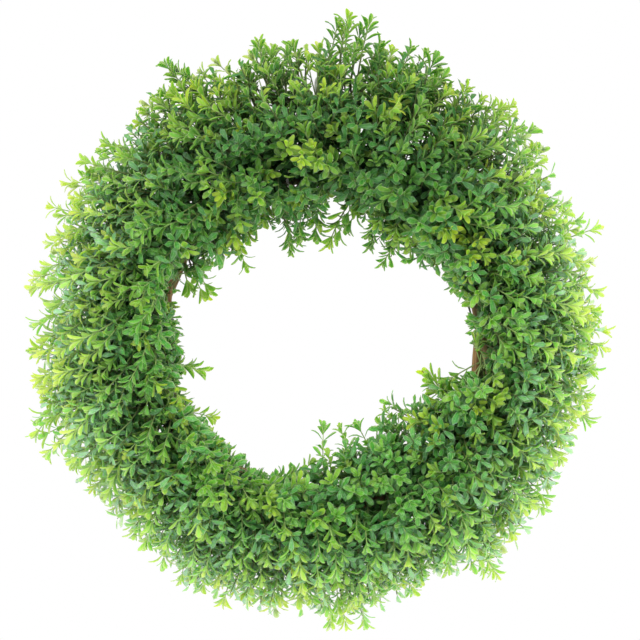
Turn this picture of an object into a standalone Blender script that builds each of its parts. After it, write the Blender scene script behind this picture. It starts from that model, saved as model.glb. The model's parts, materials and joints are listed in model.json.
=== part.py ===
"""Boxwood wreath on a ring of vines, hung by a wire loop.

The wreath hangs upright and faces -Y. The origin is the point where a hook bears up
under the wire loop. A turn is an angle round the wreath, from +X towards +Z, and a lean
is an angle round the bundle of vines: 0 points away from the wreath's centre, 90 points
to the front and 180 points into the hole.
"""

import math
import random

import bmesh
import bpy
from mathutils import Matrix, Vector

# Whole wreath, in metres
RING_RADIUS = 0.168  # centre of the wreath to the middle of the vine bundle
RING_FORWARD = 0.0175  # hanging point to the middle of the bundle
HANG_RISE = 0.260  # hanging point above the wreath's centre
CENTRE = Vector((0.0, -RING_FORWARD, -HANG_RISE))
FRONT = Vector((0.0, -1.0, 0.0))

# Vine ring
VINES = 5
VINE_RADIUS = 0.0042
BUNDLE_RADIUS = 0.0119  # middle of the bundle to the middle of a vine
VINE_TWISTS = 4  # times each vine winds round the bundle
VINE_PHASE = -15.0  # turns the bundle so that its gaps face the sprays' stems
VINE_END_GAP = 7.0  # degrees between a vine's two cut ends
VINE_FIRST_START = 36.0
VINE_STEPS = 27

# Wire ties round the bundle
TIES = 3
TIE_FIRST_TURN = 54.0
TIE_RADIUS = 0.0009
TIE_LOOP_RADIUS = 0.0190
TIE_SIDES = 12
TIE_WIRE_SIDES = 4

# Hanging loop
HANGER_RADIUS = 0.0015
HANGER_HALF_WIDTH = 0.006
HANGER_CROWN_STEPS = 6
HANGER_STRAIGHT = 0.030  # length of the upright part of each leg
HANGER_WRAP_RADIUS = 0.0194
HANGER_WRAP_LEANS = (-45.0, 265.0)
HANGER_WRAP_STEPS = 14
HANGER_WRAP_LEFT = -0.044  # where the wrap starts and ends, to the right of the hook
HANGER_WRAP_RIGHT = -0.026
HANGER_FOOT_RISE = 0.018  # where the right leg turns down to the wrap's end, above it
HANGER_FOOT_BACK = 0.0012

# How far leaf tips stand from the middle of the bundle
OUTER_REACH = 0.128
OUTER_REACH_SWING = 0.010  # more of it at the upper left than at the lower right
OUTER_REACH_MOST_AT = 115.0
FRONT_REACH = 0.096
HOLE_EDGE = (  # turn, and how far from the wreath's centre the tips in the hole end
    (0, 0.143), (20, 0.130), (48, 0.094), (72, 0.110), (95, 0.088), (125, 0.108), (150, 0.110),
    (180, 0.134), (245, 0.138), (266, 0.098), (305, 0.092), (342, 0.104), (352, 0.143), (360, 0.143),
)

# Sprays of boxwood, in an outer and an inner row
SECTORS = 20
FIRST_TURN = 89.0
ROW_LEAN = 75.0  # lean of the plane between the two rows
BACK_LIMIT = -0.0120  # how far behind the bundle's middle foliage may lie
SLANT = 45.0  # degrees that a spray leans round the wreath for each metre forward
CELL_GAP = 0.0004  # kept free on each side of a plane between two sprays
BUNDLE_CLEARANCE = 0.0215  # foliage stays this far from the middle of the bundle
STEM_RADIUS = 0.0012
STEM_SIDES = 3
STEM_START = 0.0045
STEM_END = 0.0300
PULL = 0.02  # share of the way to the heart that a point outside its cell moves at a time

# Leaves and twigs
LEAF_LENGTH = 0.0200
LEAF_WIDTH = 0.0095
LEAF_BELLY = 0.60  # share of its length at which a leaf is widest
LEAF_FOLD = 0.0009  # how far a leaf's edges rise beside its rib
LEAF_ARCH = 1.14  # how much more its tip leans out than its root
LEAF_LENGTH_DRAW = (0.90, 1.04)
LEAF_SIDE_SHARE = 0.92  # of the way to the next leaf, at most
TIP_LEAVES = 6
TIP_SPACING = 0.023
TIP_ACROSS_DRAW = 0.10
TIP_LEAN_DRAW = 4.0
TIP_REACH_DRAW = (0.93, 1.02)
TWIG_SIDES = 3
TWIG_RADIUS = 0.0012
TWIG_ROOT_SHARE = 0.05  # of the way from the heart to the tip, where a twig starts
NOTCH_RADIUS = 0.0014  # where two leaves meet at the twig
NODE_DROP = 0.0013  # from the middle of a ring of leaves down to the twig's end
NODE_RISE = 0.0009  # and up to its top
WIDE_SPREAD = 64.0  # degrees between a leaf and its twig, for every other leaf
NARROW_SPREAD = 40.0
LEAST_SPREAD = 16.0
SPREAD_DRAW = 5.0
SPREAD_STEP = 6.0  # how far a leaf is bent to its twig at a time
LENGTH_STEP = 0.8

OUTER = {
    "name": "outer_spray",
    "shift": 0.0,  # in sectors
    "stem_gap": 0.5,
    "core_leans": (-3.0, 74.5),
    "core_cuts": 2,
    # lean, and places across the sector from -1 to 1
    "tips": (
        (-4.0, (-0.66, 0.02, 0.66)),
        (19.0, (-0.36,)),
        (41.0, (-0.50, 0.48)),
        (64.0, (0.05,)),
    ),
}
INNER = {
    "name": "inner_spray",
    "shift": 0.5,
    "stem_gap": 1.5,
    "core_leans": (75.5, 175.0),
    "core_cuts": 1,
    "tips": (
        (86.0, (-0.34,)),
        (108.0, (0.36,)),
        (150.0, (-0.05,)),
    ),
}
CORE_FRONT_SHARE = 0.60  # of the reach, filled by the dense heart of a spray
CORE_RIM_SHARE = 0.68
CORE_START = 0.0258  # from the middle of the bundle
CORE_LEAST_DEPTH = 0.006
CORE_ROOT_SHARE = 0.66  # how much narrower the heart is at its root
CORE_ROUGHNESS = 0.05  # of its reach
CORE_POINT = 0.017  # height of the leafy points that its outside is raised into
CORE_POINT_DRAW = (0.7, 1.2)
CORE_POINT_SHIFT = 0.22
LEAST_REACH = 0.040  # a spray in the hole ends where its reach falls below this

# Long twigs that stand out of the wreath: turn, lean, reach from the bundle's middle
LONG_TWIGS = (
    (86.0, 4.0, 0.158),
    (184.0, 0.0, 0.131),
    (0.0, 2.0, 0.124),
    (275.0, 0.0, 0.130),
)

LEAF_GREEN = (0.075, 0.21, 0.035)
VINE_BROWN = (0.16, 0.085, 0.04)
WIRE_GREEN = (0.03, 0.06, 0.03)
HANGER_CREAM = (0.72, 0.70, 0.60)


def hole_edge(turn):
    turn %= 360.0
    for (start, first), (end, last) in zip(HOLE_EDGE, HOLE_EDGE[1:]):
        if turn <= end:
            break
    return first + (last - first) * (turn - start) / (end - start)


def reach(turn, lean):
    """How far leaf tips stand from the middle of the bundle, an ellipse on each side of the front."""
    if lean < 90.0:
        aside = OUTER_REACH + OUTER_REACH_SWING * math.cos(math.radians(turn - OUTER_REACH_MOST_AT))
    else:
        aside = RING_RADIUS - hole_edge(turn)
    angle = math.radians(lean)
    return 1.0 / math.hypot(math.cos(angle) / aside, math.sin(angle) / FRONT_REACH)


def outward(turn):
    angle = math.radians(turn)
    return Vector((math.cos(angle), 0.0, math.sin(angle)))


def ring_point(turn, lean, away):
    """A point at this distance from the middle of the bundle."""
    angle = math.radians(lean)
    return CENTRE + outward(turn) * (RING_RADIUS + away * math.cos(angle)) + FRONT * (away * math.sin(angle))


def make_material(name, colour, roughness, metallic=0.0):
    material = bpy.data.materials.new(name)
    material.diffuse_color = (*colour, 1.0)
    material.use_nodes = True
    shader = material.node_tree.nodes["Principled BSDF"]
    shader.inputs["Base Color"].default_value = (*colour, 1.0)
    shader.inputs["Roughness"].default_value = roughness
    shader.inputs["Metallic"].default_value = metallic
    return material


def add_tube(name, points, radius, resolution, material, collection, closed=False):
    """A round bar along a line of points."""
    curve = bpy.data.curves.new(name, "CURVE")
    curve.dimensions = "3D"
    curve.bevel_depth = radius
    curve.bevel_resolution = resolution
    curve.use_fill_caps = not closed
    line = curve.splines.new("POLY")
    line.points.add(len(points) - 1)
    for knot, point in zip(line.points, points):
        knot.co = (*point, 1.0)
    line.use_cyclic_u = closed
    line.use_smooth = True
    curve.materials.append(material)
    tube = bpy.data.objects.new(name, curve)
    collection.objects.link(tube)
    return tube


def vine_lean(vine, turn):
    return 360.0 / VINES * vine + VINE_TWISTS * (turn - FIRST_TURN) + VINE_PHASE


def add_vines(material, collection):
    for vine in range(VINES):
        start = VINE_FIRST_START + vine * 360.0 / VINES
        step = (360.0 - VINE_END_GAP) / VINE_STEPS
        turns = [start + step * i for i in range(VINE_STEPS + 1)]
        points = [ring_point(turn, vine_lean(vine, turn), BUNDLE_RADIUS) for turn in turns]
        add_tube(f"vine_{vine + 1}", points, VINE_RADIUS, 1, material, collection)


def add_ties(material, collection):
    for tie in range(TIES):
        turn = TIE_FIRST_TURN + tie * 360.0 / TIES
        bpy.ops.mesh.primitive_torus_add(
            major_segments=TIE_SIDES,
            minor_segments=TIE_WIRE_SIDES,
            major_radius=TIE_LOOP_RADIUS,
            minor_radius=TIE_RADIUS,
            location=ring_point(turn, 0.0, 0.0),
            rotation=(0.0, math.radians(-turn), 0.0),
        )
        ring = bpy.context.object
        ring.name = f"tie_{tie + 1}"
        ring.data.materials.append(material)
        for owner in list(ring.users_collection):
            owner.objects.unlink(ring)
        collection.objects.link(ring)


def add_hanger(material, collection):
    """A closed loop of wire: a crown for the hook, two legs behind, and one wrap round the bundle."""
    points = []
    for i in range(HANGER_CROWN_STEPS + 1):
        angle = math.pi * i / HANGER_CROWN_STEPS
        rise = HANGER_RADIUS - HANGER_HALF_WIDTH + HANGER_HALF_WIDTH * math.sin(angle)
        points.append(Vector((HANGER_HALF_WIDTH * math.cos(angle), 0.0, rise)))
    points.append(Vector((-HANGER_HALF_WIDTH, 0.0, -HANGER_STRAIGHT)))
    bundle_top = Vector((0.0, -RING_FORWARD, RING_RADIUS - HANG_RISE))
    start, stop = HANGER_WRAP_LEANS
    for i in range(HANGER_WRAP_STEPS + 1):
        share = i / HANGER_WRAP_STEPS
        lean = math.radians(start + (stop - start) * share)
        across = HANGER_WRAP_LEFT + (HANGER_WRAP_RIGHT - HANGER_WRAP_LEFT) * share
        wound = Vector((across, -math.sin(lean) * HANGER_WRAP_RADIUS, math.cos(lean) * HANGER_WRAP_RADIUS))
        sunk = Vector((0.0, 0.0, math.sqrt(RING_RADIUS ** 2 - across ** 2) - RING_RADIUS))
        points.append(bundle_top + sunk + wound)
    points.append(Vector((HANGER_WRAP_RIGHT, HANGER_FOOT_BACK, points[-1].z + HANGER_FOOT_RISE)))
    points.append(Vector((HANGER_HALF_WIDTH, 0.0, -HANGER_STRAIGHT)))
    add_tube("hanging_loop", points, HANGER_RADIUS, 1, material, collection, closed=True)


class Cell:
    """The space of one spray: a sector of the wreath, in the outer or the inner row."""

    def __init__(self, row, sector):
        self.row = row
        self.sector = sector
        self.turn = FIRST_TURN - (sector - row["shift"]) * 360.0 / SECTORS
        self.half = 180.0 / SECTORS
        self.name = f"{row['name']}_{sector + 1:02d}"
        self.draw = random.Random(self.name)
        low, high = row["core_leans"]
        while reach(self.turn, high) < LEAST_REACH:
            high -= 1.0
        self.middle_lean = (low + high) / 2
        self.half_lean = (high - low) / 2
        self.heart = self.point(0.0, self.middle_lean, (CORE_START + self.core_reach(self.middle_lean)) / 2)

    def point(self, across, lean, away):
        """A point of the cell, where across runs from -1 to 1 over the sector."""
        slanted = SLANT * away * math.sin(math.radians(lean))
        return ring_point(self.turn + across * self.half + slanted, lean, away)

    def core_reach(self, lean):
        rim = abs(math.cos(math.radians(lean)))
        share = CORE_FRONT_SHARE + (CORE_RIM_SHARE - CORE_FRONT_SHARE) * rim
        return max(CORE_START + CORE_LEAST_DEPTH, reach(self.turn, lean) * share)

    def room(self, point):
        """How far inside the cell a point lies. It is negative outside."""
        offset = point - CENTRE
        middle = outward(self.turn)
        forward = offset.dot(FRONT)
        radius = math.hypot(offset.x, offset.z)
        aside = math.degrees(offset.xz.angle_signed(middle.xz)) if radius > 0.0 else 0.0
        aside -= SLANT * forward
        to_wall = radius * math.sin(math.radians(self.half - abs(aside)))
        side = radius - RING_RADIUS
        angle = math.radians(ROW_LEAN)
        to_row = side * math.sin(angle) - forward * math.cos(angle)
        if self.row is INNER:
            to_row = -to_row
        from_bundle = math.hypot(radius - RING_RADIUS, forward) - BUNDLE_CLEARANCE
        return min(to_wall - CELL_GAP, to_row - CELL_GAP, forward - BACK_LIMIT, from_bundle)


def new_mesh_object(name, shape, collection):
    mesh = bpy.data.meshes.new(name)
    bmesh.ops.recalc_face_normals(shape, faces=shape.faces)
    if shape.calc_volume(signed=True) < 0.0:
        bmesh.ops.reverse_faces(shape, faces=shape.faces)
    shape.to_mesh(mesh)
    shape.free()
    made = bpy.data.objects.new(name, mesh)
    collection.objects.link(made)
    return made


def add_core(cell, collection):
    """The dense heart of a spray, raised into leafy points, which widens away from the bundle."""
    shape = bmesh.new()
    bmesh.ops.create_cube(shape, size=2.0)
    outer_face = max(shape.faces, key=lambda face: face.calc_center_median().y)
    bmesh.ops.subdivide_edges(shape, edges=outer_face.edges, cuts=cell.row["core_cuts"], use_grid_fill=True)
    outside = [face for face in shape.faces if all(vertex.co.y > 0.99 for vertex in face.verts)]
    points = bmesh.ops.poke(shape, faces=outside)["verts"]
    for vertex in shape.verts:
        x, y, z = vertex.co
        if y < 0.0:
            place = cell.point(z, cell.middle_lean + x * cell.half_lean * CORE_ROOT_SHARE, CORE_START)
        else:
            raised = 0.0
            if vertex in points:
                raised = CORE_POINT * cell.draw.uniform(*CORE_POINT_DRAW)
                x += cell.draw.uniform(-CORE_POINT_SHIFT, CORE_POINT_SHIFT)
                z += cell.draw.uniform(-CORE_POINT_SHIFT, CORE_POINT_SHIFT)
            lean = cell.middle_lean + x * cell.half_lean
            rough = cell.draw.uniform(-CORE_ROUGHNESS, CORE_ROUGHNESS)
            place = cell.point(z, lean, cell.core_reach(lean) * (1.0 + rough) + raised)
        while cell.room(place) < 0.0:
            place = place.lerp(cell.heart, PULL)
        vertex.co = place
    return new_mesh_object("core", shape, collection)


def add_stem(cell, collection):
    """The end of a spray's stem, pushed through a gap between two vines."""
    lean = vine_lean(cell.sector + cell.row["stem_gap"], cell.turn)
    start = cell.point(0.0, lean, STEM_START)
    end = cell.point(0.0, lean, STEM_END)
    shape = bmesh.new()
    bmesh.ops.create_cone(
        shape,
        cap_ends=True,
        segments=STEM_SIDES,
        radius1=STEM_RADIUS,
        radius2=STEM_RADIUS,
        depth=(end - start).length,
    )
    turned = (end - start).to_track_quat("Z", "Y").to_matrix().to_4x4()
    bmesh.ops.transform(shape, matrix=Matrix.Translation((start + end) / 2) @ turned, verts=shape.verts)
    return new_mesh_object("stem", shape, collection)


def leaf_outline(cell, node, axis, side, length, spread):
    """The left edge, tip and right edge of a leaf, bent to the twig until it is clear of the cell's edges."""
    across = axis.cross(side)
    while True:
        angle = math.radians(spread)
        along = axis * math.cos(angle) + side * math.sin(angle)
        upper = axis * math.sin(angle) - side * math.cos(angle)
        belly = node + along * (length * LEAF_BELLY) + upper * LEAF_FOLD
        room_beside = length * LEAF_BELLY * math.sin(angle) * math.tan(math.pi / TIP_LEAVES) * LEAF_SIDE_SHARE
        half_width = across * min(LEAF_WIDTH / 2, room_beside)
        bent = math.radians(spread * LEAF_ARCH)
        lower = axis * math.cos(bent) + side * math.sin(bent)
        tip = node + along * (length * LEAF_BELLY) + lower * (length * (1.0 - LEAF_BELLY))
        outline = [belly - half_width, tip, belly + half_width]
        if min(cell.room(point) for point in outline) > 0.0:
            return outline
        if spread > LEAST_SPREAD:
            spread -= SPREAD_STEP
        else:
            length *= LENGTH_STEP


def add_sprig(cell, base, tip, collection):
    """A twig that ends in a ring of leaves. Each leaf is thick at its rib and sharp at its edges."""
    axis = (tip - base).normalized()
    side = axis.orthogonal().normalized()
    side.rotate(Matrix.Rotation(cell.draw.uniform(0.0, math.pi), 3, axis))
    node = tip - axis * (LEAF_LENGTH * math.cos(math.radians(NARROW_SPREAD)))
    shape = bmesh.new()
    bmesh.ops.create_cone(
        shape,
        cap_ends=True,
        segments=TWIG_SIDES,
        radius1=TWIG_RADIUS,
        radius2=TWIG_RADIUS,
        depth=(node - base).length - NODE_DROP,
    )
    turned = Matrix((side, axis.cross(side), axis)).transposed().to_4x4()
    middle = (base + node - axis * NODE_DROP) / 2
    bmesh.ops.transform(shape, matrix=Matrix.Translation(middle) @ turned, verts=shape.verts)
    shape.normal_update()
    end = max(shape.faces, key=lambda face: face.normal.dot(axis))
    ring = end.verts[:]
    shape.faces.remove(end)
    top = shape.verts.new(node + axis * NODE_RISE)
    first = ring[0].co - middle
    first = (first - axis * first.dot(axis)).normalized()
    turn = 2.0 * math.pi / TIP_LEAVES
    leaves_per_side = TIP_LEAVES // TWIG_SIDES
    rim = []
    for leaf in range(TIP_LEAVES):
        spread = (WIDE_SPREAD if leaf % 2 else NARROW_SPREAD) + cell.draw.uniform(-SPREAD_DRAW, SPREAD_DRAW)
        length = LEAF_LENGTH * cell.draw.uniform(*LEAF_LENGTH_DRAW)
        offset = (leaf + 0.5 - leaves_per_side / 2) * turn
        out = Matrix.Rotation(offset, 3, axis) @ first
        notch = Matrix.Rotation(offset - turn / 2, 3, axis) @ first
        rim.append([node + notch * NOTCH_RADIUS])
        rim[-1] += leaf_outline(cell, node, axis, out, length, spread)
    rim = [[shape.verts.new(point) for point in leaf] for leaf in rim]
    for leaf in range(TIP_LEAVES):
        edge = rim[leaf] + [rim[(leaf + 1) % TIP_LEAVES][0]]
        below = ring[leaf // leaves_per_side]
        for start, stop in zip(edge, edge[1:]):
            shape.faces.new((top, start, stop))
            shape.faces.new((below, stop, start))
        if (leaf + 1) % leaves_per_side == 0:
            following = ring[(leaf // leaves_per_side + 1) % TWIG_SIDES]
            shape.faces.new((below, following, edge[-1]))
    return new_mesh_object("sprig", shape, collection)


def tips_of(cell):
    """Where the tips of a spray's twigs stand, the long ones first."""
    tips = []
    for turn, lean, away in LONG_TWIGS:
        across = ((turn - cell.turn + 180.0) % 360.0 - 180.0) / cell.half
        if abs(across) < 1.0 and (lean > ROW_LEAN) == (cell.row is INNER):
            tips.append(cell.point(across, lean, away))
    flip = 1.0 if cell.draw.random() < 0.5 else -1.0
    for lean, places in cell.row["tips"]:
        for place in places:
            across = place * flip + cell.draw.uniform(-TIP_ACROSS_DRAW, TIP_ACROSS_DRAW)
            leaned = lean + cell.draw.uniform(-TIP_LEAN_DRAW, TIP_LEAN_DRAW)
            away = reach(cell.turn + across * cell.half, leaned) * cell.draw.uniform(*TIP_REACH_DRAW)
            tip = cell.point(across, leaned, away)
            if away > LEAST_REACH and all((tip - other).length > TIP_SPACING for other in tips):
                tips.append(tip)
    return tips


def add_sprays(row, material, collection, scratch):
    for sector in range(SECTORS):
        cell = Cell(row, sector)
        core = add_core(cell, collection)
        core.name = cell.name
        core.data.name = cell.name
        add_stem(cell, scratch)
        for tip in tips_of(cell):
            add_sprig(cell, cell.heart.lerp(tip, TWIG_ROOT_SHARE), tip, scratch)
        join_all(core, scratch)
        core.data.materials.clear()
        core.data.materials.append(material)


def join_all(body, scratch):
    """Fuses everything in the scratch collection to the body."""
    union = body.modifiers.new("join", "BOOLEAN")
    union.operation = "UNION"
    union.operand_type = "COLLECTION"
    union.collection = scratch
    union.solver = "MANIFOLD"
    bpy.context.view_layer.update()
    graph = bpy.context.evaluated_depsgraph_get()
    joined = bpy.data.meshes.new_from_object(body.evaluated_get(graph))
    body.modifiers.clear()
    old = body.data
    body.data = joined
    joined.name = body.name
    bpy.data.meshes.remove(old)
    for helper in list(scratch.objects):
        bpy.data.objects.remove(helper)


def main():
    for old in list(bpy.data.objects):
        bpy.data.objects.remove(old)
    wreath = bpy.data.collections.new("boxwood_wreath")
    scratch = bpy.data.collections.new("to_join")
    bpy.context.scene.collection.children.link(wreath)
    bpy.context.scene.collection.children.link(scratch)
    leaf = make_material("boxwood_leaf", LEAF_GREEN, 0.42)
    add_vines(make_material("vine_bark", VINE_BROWN, 0.8), wreath)
    add_ties(make_material("tie_wire", WIRE_GREEN, 0.5), wreath)
    add_hanger(make_material("hanger_coating", HANGER_CREAM, 0.45), wreath)
    add_sprays(OUTER, leaf, wreath, scratch)
    add_sprays(INNER, leaf, wreath, scratch)
    bpy.data.collections.remove(scratch)


main()
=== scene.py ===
import json
import math
import random

import bmesh
import bpy
import numpy as np
from mathutils import Matrix, Vector, noise

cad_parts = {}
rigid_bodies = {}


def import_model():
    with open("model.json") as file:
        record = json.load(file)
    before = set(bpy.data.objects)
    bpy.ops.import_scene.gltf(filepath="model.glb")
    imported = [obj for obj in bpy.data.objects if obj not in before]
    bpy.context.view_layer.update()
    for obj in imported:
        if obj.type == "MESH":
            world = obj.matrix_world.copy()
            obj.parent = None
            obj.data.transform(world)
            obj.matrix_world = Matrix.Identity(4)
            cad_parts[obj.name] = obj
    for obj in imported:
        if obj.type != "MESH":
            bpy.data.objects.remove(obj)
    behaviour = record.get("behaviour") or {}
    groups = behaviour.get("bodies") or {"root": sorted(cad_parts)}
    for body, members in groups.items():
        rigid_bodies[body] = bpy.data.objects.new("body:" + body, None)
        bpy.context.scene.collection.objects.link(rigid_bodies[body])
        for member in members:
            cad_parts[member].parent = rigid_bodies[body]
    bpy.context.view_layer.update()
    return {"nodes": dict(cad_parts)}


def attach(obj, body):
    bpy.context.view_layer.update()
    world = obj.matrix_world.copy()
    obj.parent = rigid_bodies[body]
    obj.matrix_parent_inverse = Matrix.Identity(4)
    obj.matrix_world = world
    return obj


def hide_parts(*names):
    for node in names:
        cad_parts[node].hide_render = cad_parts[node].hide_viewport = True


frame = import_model()
print("frame loaded:", len(frame["nodes"]), "nodes")

ring = {
    "radius": 0.168,  # centre of the wreath to the middle of the bundle
    "forward": 0.0175,  # hanging point to the middle of the bundle
    "hangRise": 0.260,  # hanging point above the wreath's centre
    "bundleRadius": 0.0119,  # middle of the bundle to the middle of a vine
    "sectors": 20,
    "firstTurn": 89.0,
}
halfSector = 180.0 / ring["sectors"]
centre = Vector((0.0, -ring["forward"], -ring["hangRise"]))
front = Vector((0.0, -1.0, 0.0))

# How far leaf tips stand from the middle of the bundle, to the front, and from the wreath's
# centre, at its rim and in its hole, by turn
reachOf = {
    "front": 0.096,
    "rimEdge": (
        (0, 0.293), (10, 0.290), (20, 0.302), (30, 0.288), (40, 0.307), (55, 0.314), (64, 0.304),
        (68, 0.316), (74, 0.308), (79, 0.316), (84, 0.322), (90, 0.305), (95, 0.307), (101, 0.318),
        (110, 0.301), (120, 0.319), (128, 0.312), (135, 0.297), (142, 0.310), (149, 0.306),
        (156, 0.308), (163, 0.300), (173, 0.301), (180, 0.298), (190, 0.303), (200, 0.311),
        (210, 0.298), (222, 0.296), (230, 0.284), (240, 0.303), (250, 0.300), (270, 0.296),
        (278, 0.307), (284, 0.298), (290, 0.284), (300, 0.293), (312, 0.310), (319, 0.291),
        (326, 0.294), (334, 0.286), (340, 0.293), (350, 0.291), (360, 0.293),
    ),
    "holeEdge": (
        (0, 0.153), (10, 0.148), (20, 0.135), (30, 0.123), (40, 0.107), (50, 0.085), (60, 0.094),
        (70, 0.108), (78, 0.132), (85, 0.126), (92, 0.106), (100, 0.086), (110, 0.080), (120, 0.110),
        (130, 0.105), (142, 0.108), (150, 0.118), (158, 0.152), (168, 0.148), (180, 0.138),
        (190, 0.140), (200, 0.151), (210, 0.150), (220, 0.142), (235, 0.147), (246, 0.157),
        (255, 0.142), (262, 0.130), (270, 0.106), (280, 0.092), (290, 0.108), (300, 0.093),
        (310, 0.081), (320, 0.094), (330, 0.108), (336, 0.120), (341, 0.150), (347, 0.157),
        (354, 0.159), (360, 0.153),
    ),
}


def edgeAt(edge, turn):
    turns, radii = zip(*reachOf[edge])
    return np.interp(np.mod(turn, 360.0), turns, radii)


# How far the foliage stands out from the bundle: an ellipse from the rim or the hole to the front
def reach(turn, lean):
    outer = edgeAt("rimEdge", turn) - ring["radius"]
    inner = ring["radius"] - edgeAt("holeEdge", turn)
    aside = np.where(lean < 90.0, outer, inner)
    angle = np.radians(lean)
    return 1.0 / np.hypot(np.cos(angle) / aside, np.sin(angle) / reachOf["front"])


def outward(turn):
    angle = math.radians(turn)
    return Vector((math.cos(angle), 0.0, math.sin(angle)))


def ringPoint(turn, lean, away):
    angle = math.radians(lean)
    aside = outward(turn) * (ring["radius"] + away * math.cos(angle))
    return centre + aside + front * (away * math.sin(angle))


# A value kept from 0 to 1
def held(value):
    return min(1.0, max(0.0, value))


def giveOrTake(draw, most):
    return draw.uniform(-most, most)


# One socket of a material's nodes, so that shader maths reads as plain expressions
class Value:
    def __init__(self, paint, socket):
        self.paint = paint
        self.socket = socket

    def math(self, operation, first, second=None):
        values = {0: first}
        if second is not None:
            values[1] = second
        return self.paint.node("ShaderNodeMath", {"operation": operation}, values)

    def __add__(self, other):
        return self.math("ADD", self, other)

    def __radd__(self, other):
        return self.math("ADD", other, self)

    def __sub__(self, other):
        return self.math("SUBTRACT", self, other)

    def __rsub__(self, other):
        return self.math("SUBTRACT", other, self)

    def __mul__(self, other):
        return self.math("MULTIPLY", self, other)

    def __rmul__(self, other):
        return self.math("MULTIPLY", other, self)

    def __abs__(self):
        return self.math("ABSOLUTE", self)

    def floor(self):
        return self.math("FLOOR", self)

    def sine(self):
        return self.math("SINE", self)

    def smooth(self, low, high):
        settings = {"interpolation_type": "SMOOTHSTEP"}
        values = {"Value": self, "From Min": low, "From Max": high}
        return self.paint.node("ShaderNodeMapRange", settings, values)


# The nodes of one material
class Paint:
    def __init__(self, name, roughness, specular=0.5):
        self.material = bpy.data.materials.new(name)
        self.material.use_nodes = True
        self.tree = self.material.node_tree
        self.shader = self.tree.nodes["Principled BSDF"]
        self.shader.inputs["Roughness"].default_value = roughness
        self.shader.inputs["Specular IOR Level"].default_value = specular

    def node(self, kind, settings=None, values=None, output=0):
        made = self.tree.nodes.new(kind)
        for name, setting in (settings or {}).items():
            setattr(made, name, setting)
        for name, value in (values or {}).items():
            if isinstance(value, Value):
                self.tree.links.new(value.socket, made.inputs[name])
            else:
                made.inputs[name].default_value = value
        return Value(self, made.outputs[output])

    def attribute(self, name):
        return self.node("ShaderNodeAttribute", {"attribute_name": name}, output="Fac")

    def mix(self, share, first, second):
        settings = {"data_type": "RGBA"}
        values = {0: share, 6: first, 7: second}
        for socket, value in values.items():
            if isinstance(value, tuple) and len(value) == 3:
                values[socket] = (*value, 1.0)
        return self.node("ShaderNodeMix", settings, values, output=2)

    def noise(self, scale, detail, vector):
        values = {"Vector": vector, "Scale": scale, "Detail": detail}
        return self.node("ShaderNodeTexNoise", None, values, output="Fac")

    def uv(self):
        place = self.node("ShaderNodeTexCoord", output="UV")
        across = self.node("ShaderNodeSeparateXYZ", None, {0: place}, output="X")
        along = self.node("ShaderNodeSeparateXYZ", None, {0: place}, output="Y")
        return across, along

    def place(self, scale=(1.0, 1.0, 1.0)):
        where = self.node("ShaderNodeTexCoord", output="Object")
        return self.node("ShaderNodeMapping", None, {"Vector": where, "Scale": scale})

    def feed(self, socket, value):
        self.tree.links.new(value.socket, self.shader.inputs[socket])

    def bump(self, height, strength, distance):
        values = {"Height": height, "Strength": strength, "Distance": distance}
        self.feed("Normal", self.node("ShaderNodeBump", None, values))


leafColour = {
    "old": (0.020, 0.158, 0.020),
    "oldPale": (0.050, 0.305, 0.045),
    "young": (0.110, 0.420, 0.026),
    "fresh": (0.480, 0.700, 0.014),
    "under": (0.100, 0.280, 0.070),
    "olive": (0.120, 0.150, 0.020),
    # The glow colours are painted light: foliage towards the rim is made pale as though lit through from
    # behind
    "glowGreen": (0.185, 0.610, 0.175),
    "glowPale": (0.640, 0.860, 0.150),
    "glowDeep": (0.400, 0.800, 0.400),
    # paintedSheen is a painted highlight: whitish green that stands in for gloss
    "paintedSheen": (0.460, 0.700, 0.460),
    # inside is painted shade: near-black for leaves deep in the foliage
    "inside": (0.005, 0.030, 0.005),
    "rim": (0.310, 0.670, 0.190),
}


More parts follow.
